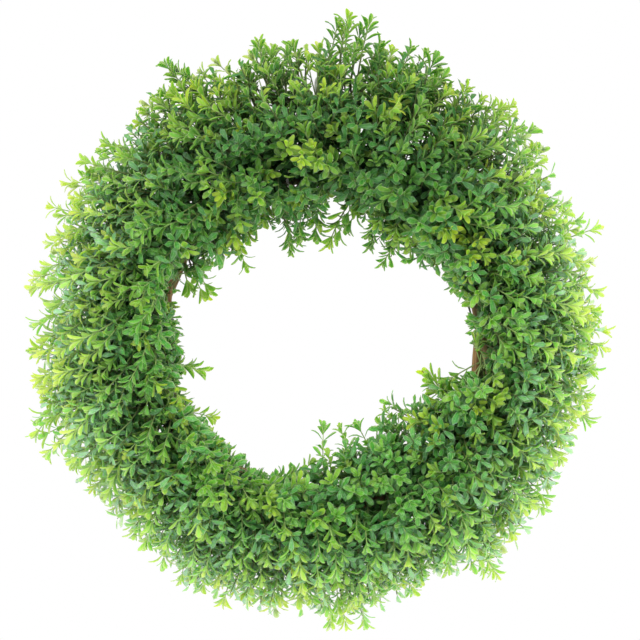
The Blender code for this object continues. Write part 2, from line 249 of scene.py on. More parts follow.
def paintLeaves():
    paint = Paint("boxwood_leaf", 0.32, 0.30)
    paint.shader.inputs["Subsurface Weight"].default_value = 0.8
    paint.shader.inputs["Subsurface Radius"].default_value = (0.65, 1.0, 0.25)
    paint.shader.inputs["Subsurface Scale"].default_value = 0.004
    across, along = paint.uv()
    under = across.floor()  # 1 on the leaf's under side, whose map lies one tile to the right
    aside = abs((across - under) * 2.0 - 1.0)  # 0 on the midrib, 1 at the leaf's edge
    tone = paint.attribute("leafTone")
    young = paint.attribute("leafYoung")
    fresh = paint.attribute("sprigFresh")
    # the painted glow of light towards the rim
    rimGlow = paint.attribute("paintedRimGlow")
    depth = paint.attribute("paintedShade")
    colour = paint.mix(tone, leafColour["old"], leafColour["oldPale"])
    colour = paint.mix(tone.smooth(0.93, 0.97), colour, leafColour["olive"])
    colour = paint.mix(young * 0.60, colour, leafColour["young"])
    yellow = (young * 0.85 + along * 0.15) * fresh
    colour = paint.mix(yellow, colour, leafColour["fresh"])
    patches = paint.noise(95.0, 2.0, paint.place())
    colour = paint.mix(patches.smooth(0.35, 0.75) * 0.28, colour, leafColour["young"])
    # Painted sheen: whitish patches on the upper sides that stand in for glossy highlights, not on yellow
    # tips
    sheenShare = paint.noise(330.0, 2.0, paint.place()).smooth(0.48, 0.68) * (1.0 - under) * (1.0 - yellow)
    rib = 1.0 - aside.smooth(0.03, 0.13)
    sides = (along * 62.0 - aside * 16.0).sine().smooth(0.55, 1.0) * (1.0 - aside) * aside * 2.0
    edge = aside.smooth(0.66, 1.0)
    marks = rib * 0.36 + edge * 0.46 + sides * 0.20
    colour = paint.mix(marks * (1.0 - yellow * 0.6), colour, leafColour["rim"])
    colour = paint.mix(under * 0.50, colour, leafColour["under"])
    # Painted light: towards the rim the leaves glow pale, the old leaves deep in the sprigs palest
    lit = (tone * 0.45 + young * 0.45 + yellow * 0.40).smooth(0.15, 1.05)
    paintedGlow = paint.mix(lit, leafColour["glowGreen"], leafColour["glowPale"])
    paintedGlow = paint.mix(young.smooth(0.0, 0.3), leafColour["glowDeep"], paintedGlow)
    colour = paint.mix(rimGlow * (0.74 + fresh * 0.24 - yellow * 0.26), colour, paintedGlow)
    # Painted sheen, stronger towards the rim
    colour = paint.mix(sheenShare * (0.18 + rimGlow * 0.38), colour, leafColour["paintedSheen"])
    # Painted shade: leaves deep in the foliage and towards the top darken towards near-black, yellow tips
    # less
    colour = paint.mix(depth * (1.0 - yellow * 0.8), colour, leafColour["inside"])
    paint.feed("Base Color", colour)
    fine = paint.noise(900.0, 2.0, paint.place())
    paint.feed("Roughness", 0.27 + under * 0.25 + depth * 0.30 + fine * 0.10)
    paint.bump(rib * -0.7 + sides * -0.35 + fine * 0.25, 0.55, 0.0004)
    return paint.material


twigColour = {
    "old": (0.150, 0.220, 0.065),
    "young": (0.360, 0.540, 0.160),
    "streak": (0.115, 0.085, 0.035),
    # inside is painted shade for twigs deep in the foliage
    "inside": (0.020, 0.022, 0.008),
}


def paintTwigs():
    paint = Paint("boxwood_twig", 0.55, 0.35)
    depth = paint.attribute("paintedShade")
    young = paint.attribute("leafYoung")
    streaks = paint.noise(240.0, 3.0, paint.place((1.0, 1.0, 0.3)))
    colour = paint.mix(young, twigColour["old"], twigColour["young"])
    colour = paint.mix(streaks.smooth(0.4, 0.8) * 0.5, colour, twigColour["streak"])
    # Painted shade: twigs deep in the foliage and towards the top darken towards near-black
    colour = paint.mix(depth, colour, twigColour["inside"])
    paint.feed("Base Color", colour)
    paint.bump(streaks, 0.4, 0.0003)
    return paint.material


# in the grooves, on the strips, on the worn fibres
barkColour = {
    "brown": ((0.085, 0.055, 0.018), (0.300, 0.200, 0.075), (0.480, 0.400, 0.230)),
    "grey": ((0.085, 0.076, 0.034), (0.250, 0.240, 0.120), (0.380, 0.380, 0.240)),
    "red": ((0.085, 0.045, 0.016), (0.310, 0.170, 0.062), (0.450, 0.340, 0.190)),
}


def paintBark(name, groove, strip, worn):
    paint = Paint(name, 0.78, 0.25)
    across, along = paint.uv()
    wave = paint.node("ShaderNodeCombineXYZ", None, {0: across * 9.0, 1: along * 26.0})
    strips = paint.noise(2.0, 5.0, wave)
    long = paint.node("ShaderNodeCombineXYZ", None, {0: across * 26.0, 1: along * 9.0})
    fibres = paint.noise(2.2, 6.0, long)
    colour = paint.mix(strips.smooth(0.30, 0.70), groove, strip)
    colour = paint.mix(fibres.smooth(0.45, 0.80) * 0.7, colour, worn)
    specks = paint.noise(520.0, 2.0, paint.place())
    colour = paint.mix(specks.smooth(0.60, 0.72) * 0.45, colour, groove)
    paint.feed("Base Color", colour)
    paint.feed("Roughness", 0.66 + fibres * 0.22)
    paint.bump(fibres * 0.8 + strips * 0.6 + specks * 0.15, 0.8, 0.0006)
    return paint.material


tieColour = {"clean": (0.022, 0.050, 0.024), "worn": (0.055, 0.080, 0.050)}


def paintTieWire():
    paint = Paint("tie_wire", 0.42, 0.5)
    worn = paint.noise(160.0, 3.0, paint.place())
    colour = paint.mix(worn.smooth(0.55, 0.75), tieColour["clean"], tieColour["worn"])
    paint.feed("Base Color", colour)
    paint.feed("Roughness", 0.36 + worn * 0.2)
    paint.bump(worn, 0.3, 0.0002)
    return paint.material


# groove is painted shade, darker in the grooves of the covering's winding
hangerColour = {"clean": (0.94, 0.93, 0.88), "soiled": (0.76, 0.76, 0.68), "groove": (0.60, 0.60, 0.52)}


def paintHanger():
    paint = Paint("hanger_coating", 0.48, 0.5)
    across, along = paint.uv()
    wound = (across * math.tau + along * math.tau * hanger["windings"]).sine()
    soil = paint.noise(130.0, 4.0, paint.place())
    colour = paint.mix(soil.smooth(0.45, 0.80), hangerColour["clean"], hangerColour["soiled"])
    # Painted shade: the covering darkens a little in the grooves of its winding
    colour = paint.mix(0.75 + wound.smooth(-1.0, -0.4) * 0.25, hangerColour["groove"], colour)
    paint.feed("Base Color", colour)
    paint.bump(wound * 0.6 + soil * 0.4, 0.45, 0.0004)
    return paint.material


def editMode():
    bpy.ops.object.mode_set(mode="EDIT")


def objectMode():
    bpy.ops.object.mode_set(mode="OBJECT")


def applyPlace():
    bpy.ops.object.transform_apply(location=True, rotation=True, scale=True)


def selectAll():
    bpy.ops.mesh.select_all(action="SELECT")


def deselectAll():
    if bpy.context.object and bpy.context.object.mode == "EDIT":
        objectMode()
    bpy.ops.object.select_all(action="DESELECT")


def makeActive(piece):
    deselectAll()
    piece.select_set(True)
    bpy.context.view_layer.objects.active = piece


# Selects the points of the mesh in edit mode whose place passes the test
def pick(piece, test):
    shape = bmesh.from_edit_mesh(piece.data)
    for face in shape.faces:
        face.select = False
    for edge in shape.edges:
        edge.select = False
    for point in shape.verts:
        point.select = test(point.co)
    shape.select_flush(True)
    bmesh.update_edit_mesh(piece.data)


# Gives the mesh's points values that its materials read
def floats(mesh, name, values):
    layer = mesh.attributes.get(name) or mesh.attributes.new(name, "FLOAT", "POINT")
    layer.data.foreach_set("value", np.full(len(mesh.vertices), values, np.float32))


leafShape = {
    "length": 0.0155,
    "width": 0.0059,
    "thickness": 0.0006,
    # along the leaf, half its width, how far that place has sunk below the root's plane
    "rows": (
        (0.00, 0.00, 0.000), (0.24, 0.38, -0.014), (0.52, 0.86, -0.012),
        (0.76, 1.00, 0.030), (0.93, 0.66, 0.090), (1.00, 0.00, 0.120),
    ),
    "plainRows": ((0.00, 0.00, 0.000), (0.35, 0.70, 0.000), (0.75, 1.00, 0.030), (1.00, 0.00, 0.100)),
    "fold": 0.26,  # rise of the edge, as a share of the half width
    "kinds": {
        "leaf_a": {},
        "leaf_b": {"bend": 1.5, "fold": 0.8, "broad": 0.94},
        "leaf_c": {"bend": 0.2, "fold": 1.4, "broad": 1.10},
        "leaf_d": {"bend": 2.1, "fold": 0.6, "broad": 0.86},
    },
    "clearance": 10.0,  # shaped rows wait this far along +Y, so that none is picked twice
    "mergeWithin": 0.00001,
    "smoothAngle": 60.0,
}


# A closed blade from the root at the origin along +Y, with its upper side towards +Z
def makeLeaf(name, bend=1.0, fold=1.0, broad=1.0, rows=leafShape["rows"]):
    length = leafShape["length"]
    half = leafShape["width"] / 2 * broad
    clearance = leafShape["clearance"]
    steps = len(rows) - 1
    deselectAll()
    bpy.ops.mesh.primitive_grid_add(x_subdivisions=2, y_subdivisions=steps, size=2.0)
    leaf = bpy.context.object
    leaf.name = name
    editMode()
    bpy.ops.mesh.select_mode(type="VERT")
    for i, (along, wide, sunk) in enumerate(rows):
        y = -1.0 + 2.0 * i / steps
        pick(leaf, lambda co: abs(co.y - y) < 0.01 and abs(co.x) > 0.5)
        bpy.ops.transform.translate(value=(0.0, 0.0, wide * half * leafShape["fold"] * fold))
        pick(leaf, lambda co: abs(co.y - y) < 0.01)
        bpy.ops.transform.resize(value=(max(wide, 0.001) * half, 1.0, 1.0), center_override=(0.0, 0.0, 0.0))
        bpy.ops.transform.translate(value=(0.0, clearance + length * along - y, -sunk * length * bend))
    selectAll()
    bpy.ops.transform.translate(value=(0.0, -clearance, 0.0))
    for end in (0.0, length):
        pick(leaf, lambda co: abs(co.y - end) < length * 0.01)
        bpy.ops.mesh.merge(type="CENTER")
    selectAll()
    bpy.ops.mesh.duplicate()
    bpy.ops.mesh.flip_normals()
    shape = bmesh.from_edit_mesh(leaf.data)
    uv = shape.loops.layers.uv.active
    for face in shape.faces:
        if face.select:
            for loop in face.loops:
                loop[uv].uv.x += 1.0
    for point in shape.verts:
        inside = abs(point.co.x) < half * 0.01 and length * 0.02 < point.co.y < length * 0.98
        point.select = point.select and inside
    shape.select_flush(False)
    bmesh.update_edit_mesh(leaf.data)
    bpy.ops.transform.translate(value=(0.0, 0.0, -leafShape["thickness"]))
    selectAll()
    bpy.ops.mesh.remove_doubles(threshold=leafShape["mergeWithin"])
    objectMode()
    bpy.ops.object.shade_smooth_by_angle(angle=math.radians(leafShape["smoothAngle"]))
    return leaf


# Puts a leaf on a twig that stands along +Z, at an angle of spread degrees to the twig
def leafPlace(height, around, spread, size, twist=0.0):
    turned = Matrix.Rotation(around, 4, "Z") @ Matrix.Rotation(math.radians(90.0 - spread), 4, "X")
    own = Matrix.Rotation(twist, 4, "Y") @ Matrix.Scale(size, 4)
    return Matrix.Translation((0.0, 0.0, height)) @ turned @ own


def copyMesh(model, place):
    copied = bpy.data.objects.new(model.name, model.data.copy())
    copied.data.transform(place)
    bpy.context.scene.collection.objects.link(copied)
    return copied


def joinPieces(name, pieces):
    deselectAll()
    for piece in pieces:
        piece.select_set(True)
    bpy.context.view_layer.objects.active = pieces[0]
    bpy.ops.object.join()
    joined = bpy.context.object
    joined.name = name
    joined.data.name = name
    return joined


twigShape = {"sides": 4, "joints": 5, "taper": 0.86, "smoothAngle": 60.0}


# A twig with a few joints, from its cut end up to the tip, along +Z
def makeTwig(name, low, high, radius, material):
    steps = twigShape["joints"]
    deselectAll()
    bpy.ops.mesh.primitive_circle_add(
        vertices=twigShape["sides"],
        radius=radius,
        fill_type="NGON",
        location=(0.0, 0.0, low),
    )
    twig = bpy.context.object
    twig.name = name
    editMode()
    selectAll()
    up = (0.0, 0.0, (high - low) / steps)
    for _ in range(steps):
        bpy.ops.mesh.extrude_region_move(TRANSFORM_OT_translate={"value": up})
        bpy.ops.transform.resize(value=(twigShape["taper"], twigShape["taper"], 1.0))
    selectAll()
    bpy.ops.mesh.normals_make_consistent(inside=False)
    objectMode()
    applyPlace()
    bpy.ops.object.shade_smooth_by_angle(angle=math.radians(twigShape["smoothAngle"]))
    twig.data.materials.append(material)
    return twig


sprigShape = {
    # distance below the bud, degrees from the twig, size, for each pair of leaves
    "pairs": (
        (0.0000, 18.0, 0.74), (0.0012, 30.0, 0.96), (0.0036, 40.0, 1.04),
        (0.0105, 44.0, 1.02), (0.0185, 47.0, 1.00), (0.0270, 50.0, 1.00),
        (0.0360, 52.0, 0.98), (0.0455, 54.0, 0.96), (0.0555, 56.0, 0.92),
    ),
    "youngDrop": 0.036,  # leaves further down than this are full-grown
    "plainDrop": 0.030,  # and further down than this they are out of sight, with fewer faces
    "budDrop": 0.0125,
    "twigRadius": 0.0011,
    "kinds": 6,
    "twigLength": {"long": 0.088, "short": 0.050},
    "pairCount": {"long": 9, "short": 6},
    "bends": {"mild": (10.0, 36.0), "arched": (58.0, 108.0)},
    "aroundStray": 0.25,
    "heightStray": 0.0012,
    "spreadStray": 9.0,
    "twistStray": 0.3,
    "leafSizes": (0.86, 1.10),
    "youngDraw": (0.75, 1.00),
}


# A sprig: its highest leaf tips are at the origin, its twig hangs below, and its tip nods towards +Y
def makeSprig(name, size, bending, leaves, innerLeaf, materials, draw):
    bud = -sprigShape["budDrop"]
    low = -sprigShape["twigLength"][size]
    twig = makeTwig(name, low, bud, sprigShape["twigRadius"], materials["twig"])
    heights = np.array([v.co.z for v in twig.data.vertices])
    floats(twig.data, "leafYoung", np.clip(1.0 + (heights - bud) / sprigShape["youngDrop"], 0.0, 1.0))
    floats(twig.data, "leafTone", 0.5)
    parts = [twig]
    start = draw.uniform(0.0, math.pi)
    for i, (drop, spread, grown) in enumerate(sprigShape["pairs"][: sprigShape["pairCount"][size]]):
        for side in (0, 1):
            around = start + i * math.pi / 2 + side * math.pi + giveOrTake(draw, sprigShape["aroundStray"])
            height = bud - drop + giveOrTake(draw, sprigShape["heightStray"])
            angle = spread + giveOrTake(draw, sprigShape["spreadStray"])
            leafSize = grown * draw.uniform(*sprigShape["leafSizes"])
            place = leafPlace(height, around, angle, leafSize, giveOrTake(draw, sprigShape["twistStray"]))
            leaf = copyMesh(innerLeaf if drop > sprigShape["plainDrop"] else draw.choice(leaves), place)
            young = max(0.0, 1.0 - drop / sprigShape["youngDrop"]) * draw.uniform(*sprigShape["youngDraw"])
            floats(leaf.data, "leafYoung", young)
            floats(leaf.data, "leafTone", draw.random())
            parts.append(leaf)
    sprig = joinPieces(name, parts)
    bend = sprig.modifiers.new("bend", "SIMPLE_DEFORM")
    bend.deform_method = "BEND"
    bend.deform_axis = "X"
    bend.angle = math.radians(draw.uniform(*sprigShape["bends"][bending]))
    makeActive(sprig)
    bpy.ops.object.modifier_apply(modifier=bend.name)
    top = Vector((0.0, 0.0, max(v.co.z for v in sprig.data.vertices)))
    foot = min(sprig.data.vertices, key=lambda v: v.co.z).co.copy()
    level = (top - foot).rotation_difference(Vector((0.0, 0.0, 1.0))).to_matrix().to_4x4()
    sprig.data.transform(level @ Matrix.Translation(-top))
    return sprig


tuftShape = {
    "kinds": 5,
    "leaves": 12,
    "twigLength": 0.062,
    "leafyLength": 0.042,
    "twigRadius": 0.0012,
    "leafTurn": 2.4,  # radians from one leaf to the next
    "leafSizes": (0.85, 1.15),
    "spreads": (30.0, 80.0),
    "twistStray": 0.6,
    "palest": 0.9,
}


# A tuft of plain blades for the inside, with its twig hanging below the origin
def makeTuft(name, leaf, materials, draw):
    parts = [makeTwig(name, -tuftShape["twigLength"], 0.0, tuftShape["twigRadius"], materials["twig"])]
    for i in range(tuftShape["leaves"]):
        height = -tuftShape["leafyLength"] * i / (tuftShape["leaves"] - 1)
        size = draw.uniform(*tuftShape["leafSizes"])
        spread = draw.uniform(*tuftShape["spreads"])
        twist = giveOrTake(draw, tuftShape["twistStray"])
        parts.append(copyMesh(leaf, leafPlace(height, i * tuftShape["leafTurn"], spread, size, twist)))
    for part in parts:
        floats(part.data, "leafYoung", 0.0)
        floats(part.data, "leafTone", draw.random() * tuftShape["palest"])
    return joinPieces(name, parts)


tubeShape = {"mergeWithin": 0.00002, "smoothAngle": 50.0}


# A tube along a line, which is a function of a share from 0 to 1. Its radius is a function of that
# share and of the angle round the line.
def makeTube(name, line, girth, steps, sides, closed=False):
    deselectAll()
    bpy.ops.mesh.primitive_grid_add(x_subdivisions=sides, y_subdivisions=steps, size=2.0)
    tube = bpy.context.object
    tube.name = name
    points = [line(i / steps) for i in range(steps + 1)]
    side = None
    sections = []
    for i, point in enumerate(points):
        before = points[i - 1] if i else (points[-2] if closed else point)
        after = points[i + 1] if i < steps else (points[1] if closed else point)
        along = (after - before).normalized()
        side = along.orthogonal() if side is None else side - along * side.dot(along)
        side.normalize()
        sections.append((point, side.copy(), along.cross(side)))
    if closed:  # the frame's twist over the whole loop is spread along it
        side, up = sections[0][1], sections[0][2]
        twist = math.atan2(sections[-1][1].dot(up), sections[-1][1].dot(side))
    for vertex in tube.data.vertices:
        share = (vertex.co.y + 1.0) / 2
        around = math.pi * (vertex.co.x + 1.0)
        point, side, up = sections[round(share * steps)]
        turned = around - (twist * share if closed else 0.0)
        vertex.co = point + (side * math.cos(turned) + up * math.sin(turned)) * girth(share, around)
    makeActive(tube)
    editMode()
    selectAll()
    bpy.ops.mesh.remove_doubles(threshold=tubeShape["mergeWithin"])
    if not closed:
        bpy.ops.mesh.select_all(action="DESELECT")
        bpy.ops.mesh.select_mode(type="EDGE")
        bpy.ops.mesh.select_non_manifold()
        bpy.ops.mesh.edge_face_add()
    selectAll()
    bpy.ops.mesh.normals_make_consistent(inside=False)
    objectMode()
    bpy.ops.object.shade_smooth_by_angle(angle=math.radians(tubeShape["smoothAngle"]))
    return tube


vine = {
    "count": 5,
    "radius": 0.0042,
    "twists": 4,
    "phase": -15.0,
    "firstStart": 36.0,
    "endGap": 7.0,
    "steps": 230,
    "sides": 14,
    "barks": ("brown", "grey", "brown", "red", "brown"),
    "knots": 11,
    "knotSharpness": 260.0,
    "girth": 0.95,  # this and the rises are shares of the radius
    "ridgeRise": 0.05,
    "fineRise": 0.025,
    "knotRise": (0.030, 0.072),
}


def dressVines():
    barks = {name: paintBark(f"vine_bark_{i}", *barkColour[name]) for i, name in enumerate(barkColour)}
    for k in range(vine["count"]):
        start = vine["firstStart"] + k * 360.0 / vine["count"]
        draw = random.Random(f"vine {k}")
        knots = []
        for _ in range(vine["knots"]):
            knots.append((draw.random(), draw.uniform(0.0, 2 * math.pi), draw.uniform(*vine["knotRise"])))

        def line(share):
            turn = start + (360.0 - vine["endGap"]) * share
            lean = 360.0 / vine["count"] * k + vine["twists"] * (turn - ring["firstTurn"]) + vine["phase"]
            return ringPoint(turn, lean, ring["bundleRadius"])

        def girth(share, around):
            across = math.cos(around)
            up = math.sin(around)
            ridge = noise.noise(Vector((2.2 * across, 2.2 * up, share * 9.0 + k * 7.0)))
            fine = noise.noise(Vector((6.0 * across, 6.0 * up, share * 40.0 + k * 3.0)))
            bulge = 0.0
            for place, side, size in knots:
                near = math.exp(-((share - place) * vine["knotSharpness"]) ** 2)
                bulge += size * near * (0.5 + 0.5 * math.cos(around - side))
            rough = vine["ridgeRise"] * ridge + vine["fineRise"] * fine
            return vine["radius"] * (vine["girth"] + rough + bulge)

        rod = makeTube(f"vineRod_{k + 1}", line, girth, vine["steps"], vine["sides"])
        rod.data.materials.append(barks[vine["barks"][k]])
        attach(rod, "root")
        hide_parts(f"vine_{k + 1}")


tie = {
    "count": 3,
    "firstTurn": 54.0,
    "loopRadius": 0.0190,
    "wireRadius": 0.0009,
    "steps": 48,
    "sides": 8,
    "tailLength": 0.011,
    "tailStart": 0.0008,
    "tailLean": -32.0,
    "tailRise": 0.0005,  # past the loop
    "tailWinding": 9.0,  # radians by which the two ends wind round each other
    "tailApart": 0.0008,  # each end's middle from the line they wind round
    "tailGirth": 0.85,  # share of the wire's radius
    "tailSteps": 26,
    "tailSides": 6,
}


def dressTies():
    wire = paintTieWire()
    for k in range(tie["count"]):
        turn = tie["firstTurn"] + k * 360.0 / tie["count"]
        deselectAll()
        bpy.ops.mesh.primitive_torus_add(
            major_segments=tie["steps"],
            minor_segments=tie["sides"],
            major_radius=tie["loopRadius"],
            minor_radius=tie["wireRadius"],
            location=ringPoint(turn, 0.0, 0.0),
            rotation=(0.0, math.radians(-turn), 0.0),
        )
        loop = bpy.context.object
        applyPlace()
        bpy.ops.object.shade_smooth()
        loop.data.materials.append(wire)
        parts = [loop]
        tangent = outward(turn + 90.0)
        for strand in (0, 1):

            def tailLine(share):
                angle = share * tie["tailWinding"] + strand * math.pi
                away = tie["loopRadius"] + tie["tailRise"]
                aside = tangent * (share * tie["tailLength"] + tie["tailStart"])
                apart = tie["tailApart"]
                wound = outward(turn) * (math.cos(angle) * apart) + front * (math.sin(angle) * apart)
                return ringPoint(turn, tie["tailLean"], away) + aside + wound

            def tailGirth(share, around):
                return tie["wireRadius"] * tie["tailGirth"]

            tail = makeTube("tail", tailLine, tailGirth, tie["tailSteps"], tie["tailSides"])
            tail.data.materials.append(wire)
            parts.append(tail)
        twisted = joinPieces(f"tieWire_{k + 1}", parts)
        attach(twisted, "root")
        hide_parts(f"tie_{k + 1}")


hanger = {
    "radius": 0.0015,
    "halfWidth": 0.006,
    "straight": 0.030,
    "wrapRadius": 0.0194,
    "wrapLeans": (-45.0, 265.0),
    "wrapLeft": -0.044,
    "wrapRight": -0.026,
    "footRise": 0.018,
    "footBack": 0.0012,
    "crownSteps": 12,
    "wrapSteps": 28,
    "cornerReach": 0.004,  # corners are rounded over this length to each side
    "cornerSteps": 3,
    "girth": 0.94,  # share of the radius, with the rise of the covering's winding
    "windingRise": 0.05,
    "windings": 140,
    "steps": 300,
    "sides": 10,
}


# The same closed line as the wire in the frame, with its corners rounded
def hangerLine():
    points = []
    for i in range(hanger["crownSteps"] + 1):
        angle = math.pi * i / hanger["crownSteps"]
        rise = hanger["radius"] - hanger["halfWidth"] + hanger["halfWidth"] * math.sin(angle)
        points.append(Vector((hanger["halfWidth"] * math.cos(angle), 0.0, rise)))
    points.append(Vector((-hanger["halfWidth"], 0.0, -hanger["straight"])))
    top = Vector((0.0, -ring["forward"], ring["radius"] - ring["hangRise"]))
    first, last = hanger["wrapLeans"]
    for i in range(hanger["wrapSteps"] + 1):
        share = i / hanger["wrapSteps"]
        lean = math.radians(first + (last - first) * share)
        across = hanger["wrapLeft"] + (hanger["wrapRight"] - hanger["wrapLeft"]) * share
        rise = math.cos(lean) * hanger["wrapRadius"]
        wound = Vector((across, -math.sin(lean) * hanger["wrapRadius"], rise))
        sunk = Vector((0.0, 0.0, math.sqrt(ring["radius"] ** 2 - across ** 2) - ring["radius"]))
        points.append(top + sunk + wound)
    points.append(Vector((hanger["wrapRight"], hanger["footBack"], points[-1].z + hanger["footRise"])))
    points.append(Vector((hanger["halfWidth"], 0.0, -hanger["straight"])))
    lengths = [0.0]
    closedLine = points + [points[0]]
    for a, b in zip(closedLine, closedLine[1:]):
        lengths.append(lengths[-1] + (b - a).length)

    def line(share):
        far = share * lengths[-1]
        for i in range(len(points)):
            if far <= lengths[i + 1] or i == len(points) - 1:
                break
        part = (far - lengths[i]) / (lengths[i + 1] - lengths[i])
        return closedLine[i].lerp(closedLine[i + 1], min(1.0, part))

    soft = hanger["cornerReach"] / lengths[-1]
    steps = hanger["cornerSteps"]

    def rounded(share):
        near = [line((share + soft * k / steps) % 1.0) for k in range(-steps, steps + 1)]
        return sum(near, Vector()) / len(near)

    return rounded


def dressHanger():
    def girth(share, around):
        winding = math.sin(around + share * math.tau * hanger["windings"])
        return hanger["radius"] * (hanger["girth"] + hanger["windingRise"] * winding)

    loop = makeTube("hangerWire", hangerLine(), girth, hanger["steps"], hanger["sides"], closed=True)
    loop.data.materials.append(paintHanger())
    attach(loop, "root")
    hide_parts("hanging_loop")


foliage = {
    "spacing": 0.0212,
    "leans": {"outer_spray": (-14.0, 74.0), "inner_spray": (80.0, 184.0)},
    "shift": {"outer_spray": 0.0, "inner_spray": 0.5},
    "placeStray": 0.30,  # share of the spacing
    "rimLean": 25.0,
    "rimDraw": (0.82, 1.00),  # share of the reach, near the rim and at the front
    "frontDraw": (0.86, 1.00),
    "recessedDraw": (0.66, 0.86),
    "rimRecessed": 0.16,  # share of the sprigs that stand back
    "frontRecessed": 0.34,
    "clump": 0.085,  # how far neighbouring sprigs stand out or back together
    "clumpScale": 26.0,
    "clumpBias": 0.3,
    "bunchDepth": 0.24,  # of the pockets between bunches
    "bunchScale": 13.0,
    "bunchSlope": 2.2,
    "bunchStart": 0.15,
    "hollowWidth": 0.017,
    # the deepest pockets: x, z, depth
    "hollows": (
        (0.055, -0.068, 0.52), (0.183, -0.197, 0.50), (-0.104, -0.084, 0.40), (0.056, -0.430, 0.42),
        (-0.129, -0.140, 0.42), (0.176, -0.226, 0.40), (-0.054, -0.086, 0.36), (-0.158, -0.126, 0.34),
        (0.159, -0.373, 0.36), (-0.177, -0.332, 0.36), (0.147, -0.104, 0.34), (0.129, -0.390, 0.34),
        (0.192, -0.299, 0.34), (-0.153, -0.354, 0.34),
    ),
    "freshWidth": 0.021,
    "freshRise": 0.75,
    # where sprigs with yellow tips stand together: x, z
    "freshSpots": (
        (-0.174, -0.048), (-0.124, -0.014), (-0.082, -0.193), (-0.092, -0.363), (-0.131, -0.333),
        (0.088, -0.327), (0.235, -0.367), (0.144, -0.015), (-0.182, -0.441), (0.250, -0.299),
        (-0.021, -0.080), (0.077, -0.046), (0.159, -0.177), (-0.270, -0.172), (-0.270, -0.296),
        (-0.022, -0.505), (0.194, -0.465), (-0.104, -0.124), (0.106, -0.377), (-0.115, -0.300),
    ),
    "freshCurve": 1.7,
    "freshClump": 0.7,  # how far sprigs with yellow tips stand together elsewhere
    "freshScale": 15.0,
    "freshAnyway": 0.2,  # share of the sprigs that are as yellow at the front as at the rim
    "freshRim": 1.15,
    "freshFront": 0.60,  # less at the front
    "freshTop": 0.60,
    "freshTopLean": 50.0,
    "sizes": (0.84, 1.12),
    "loneSize": 1.16,
    "archedLeans": (30.0, 128.0),
    "longReach": 0.074,
    "alongReach": 0.050,  # where the reach is less, sprigs lie along the ring
    "alongTurns": (9.0, 16.0),
    "rootAway": 0.012,
    "rootShare": 0.3,  # of the tip's distance from the bundle, where that is less
    "rootFollow": 0.45,
    "rootTurnStray": 4.0,
    "rootLean": {"outer_spray": 34.0, "inner_spray": -24.0},
    "rootLeanStray": 12.0,
    "nodLeans": (85.0, 115.0),  # from a lean in between, sprigs nod into the hole
    "droop": 0.80,
    "hang": 12.0,  # degrees along the ring by which a sprig's root stands above its tip
    "hangBias": -0.35,
    "stray": 0.42,
    "flow": 1.5,  # how far neighbouring sprigs lean together along the ring
    "flowScale": 11.0,
    "tufts": {"outer_spray": 60, "inner_spray": 24},
    "tuftCurve": {"outer_spray": 1.5, "inner_spray": 1.0},
    "tuftMargin": 4.0,  # degrees
    "tuftShares": (0.44, 0.86),
    "tuftSizes": (0.85, 1.15),
    "tuftTurnStray": 8.0,
    "tuftLeanStray": 30.0,
    "tuftRoot": 0.006,
    "backLine": -0.010,  # y of the plane that foliage behind it is pressed towards
    "backPress": 0.25,
    # lone twigs that stand out: turn, lean and distance of the tip from the bundle, turn of the root
    "longTwigs": {
        "outer_spray": (
            (86.6, 5.0, 0.149, 87.4), (84.8, 4.0, 0.1575, 84.3), (81.0, 6.0, 0.156, 81.5),
            (78.0, 3.0, 0.138, 77.0), (67.2, 3.0, 0.139, 68.0), (102.3, 3.0, 0.138, 100.0),
            (120.0, 2.0, 0.150, 118.0), (184.0, 0.0, 0.128, 184.0), (360.5, 2.0, 0.125, 358.0),
            (352.0, 4.0, 0.116, 352.0), (275.0, 0.0, 0.130, 275.0), (200.0, 2.0, 0.134, 199.0),
            (306.0, 4.0, 0.135, 305.0), (21.0, 2.0, 0.134, 20.0),
        ),
        "inner_spray": (
            (48.0, 176.0, 0.082), (60.0, 176.0, 0.076), (111.0, 175.0, 0.086), (104.0, 175.0, 0.074),
            (140.0, 172.0, 0.074), (164.4, 175.0, 0.050, 149.0), (163.5, 170.0, 0.034, 150.0),
            (160.4, 175.0, 0.056, 147.0), (199.5, 173.0, 0.053, 192.0), (195.5, 172.0, 0.041, 189.0),
            (220.0, 174.0, 0.036), (272.0, 175.0, 0.084), (281.0, 175.0, 0.079), (291.0, 175.0, 0.078),
            (302.0, 175.0, 0.070), (312.0, 176.0, 0.080), (342.5, 176.0, 0.064, 331.0),
            (338.0, 175.0, 0.058, 330.0), (87.0, 175.0, 0.0875, 73.0), (81.7, 175.0, 0.078, 72.0),
            (78.0, 172.0, 0.066, 71.0), (93.8, 176.0, 0.078, 97.0), (90.0, 173.0, 0.066, 99.0),
        ),
    },
    # places that show through between the leaves: x, z, half width, half height
    "windows": (
        (-0.0061, -0.0105, 0.0019, 0.0120), (-0.0185, 0.001, 0.0030, 0.0030),
        (-0.0160, -0.008, 0.0028, 0.0018), (-0.0360, -0.012, 0.0026, 0.0022),
        (-0.0590, -0.008, 0.0028, 0.0045), (-0.0665, -0.029, 0.0045, 0.0025),
        (-0.0500, -0.034, 0.0040, 0.0022), (-0.0280, -0.110, 0.0060, 0.0030),
        (0.0275, -0.015, 0.0022, 0.0026), (0.0340, 0.004, 0.0022, 0.0022),
        (0.1550, -0.289, 0.0040, 0.0110), (0.1525, -0.235, 0.0020, 0.0060),
        (-0.1320, -0.189, 0.0022, 0.0030), (-0.1390, -0.199, 0.0024, 0.0036),
        (-0.1455, -0.210, 0.0024, 0.0040), (-0.1500, -0.221, 0.0022, 0.0044),
    ),
}


# 1 at x and z, less and less away from there
def nearness(place, x, z, wide):
    return math.exp(-((place.x - x) ** 2 + (place.z - z) ** 2) / wide ** 2)


